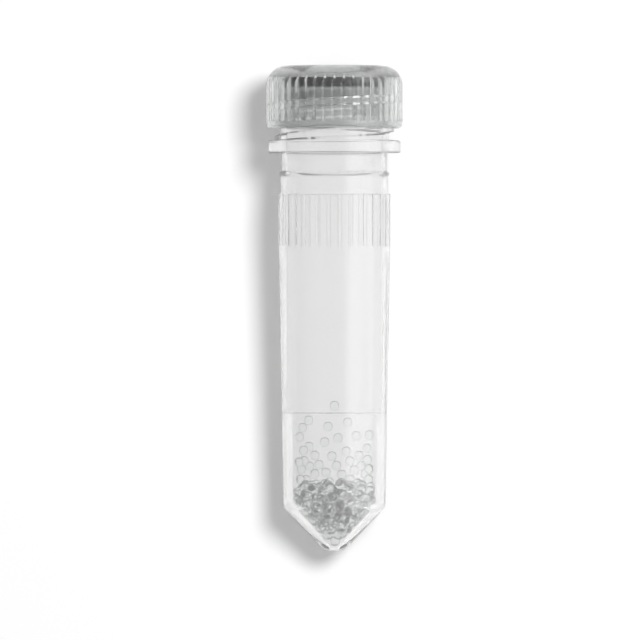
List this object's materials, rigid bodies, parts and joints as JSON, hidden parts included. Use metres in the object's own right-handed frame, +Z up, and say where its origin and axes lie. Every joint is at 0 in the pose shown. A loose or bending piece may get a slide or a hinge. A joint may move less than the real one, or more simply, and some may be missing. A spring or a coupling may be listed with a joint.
{
  "type": "prefilled bead tube",
  "caption": "Small clear screw-cap tube with a conical end, a ribbed screw cap with a sealing ring, and loose glass beads inside for beating samples.",
  "frame": {"origin": "middle of the part's outline on the surface that the closed tube lies on", "axes": "+Z up, +Y from the conical end towards the cap, +X to the right seen from the conical end"},
  "size_m": [0.013, 0.0466, 0.0132],
  "materials": {
    "tube_plastic": "clear, faintly milky",
    "cap_plastic": "clear, glossy",
    "ring_rubber": "satin",
    "bead_glass": "clear, polished"
  },
  "bodies": {
    "tube": {"tube": "tube_plastic", "beads": "bead_glass"},
    "seal": {"o_ring": "ring_rubber"},
    "cap": {"cap": "cap_plastic"}
  },
  "joints": [
    {"name": "cap_rise", "type": "slide", "parent": "tube", "child": "seal", "axis": [0, 0.999, 0.0437], "range_m": [0, 0.0076]},
    {"name": "cap_turn", "type": "hinge", "parent": "seal", "child": "cap", "pos_m": [0, 0.02187, 0.00671], "axis": [0, 0.999, 0.0437], "range_deg": [0, 1445]}
  ],
  "couplings": [
    {"joint": "cap_turn", "follows": "cap_rise", "rad_per_m": 3306.9}
  ]
}
